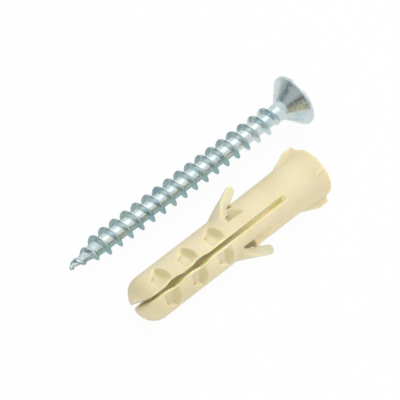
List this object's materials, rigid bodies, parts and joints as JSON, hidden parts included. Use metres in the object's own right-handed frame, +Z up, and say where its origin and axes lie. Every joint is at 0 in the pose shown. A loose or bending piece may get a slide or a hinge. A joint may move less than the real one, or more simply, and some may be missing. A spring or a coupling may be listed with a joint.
{
  "type": "wall plug with screw",
  "caption": "Slotted nylon wall plug with notches, spreading wings and a flared collar, lying beside its countersunk cross-recess screw.",
  "frame": {"origin": "centre of the pair's outline, on the floor that both pieces lie on", "axes": "+X from the two tips toward the head and the collar, +Y from the plug toward the screw, +Z up"},
  "size_m": [0.0502, 0.0236, 0.0092],
  "materials": {
    "zinc_steel": "bright zinc plating with a faint blue-green tint",
    "nylon": "natural cream nylon, satin, slightly translucent at thin edges"
  },
  "bodies": {
    "root": {"screw": "zinc_steel", "wall_plug": "nylon"}
  },
  "joints": []
}
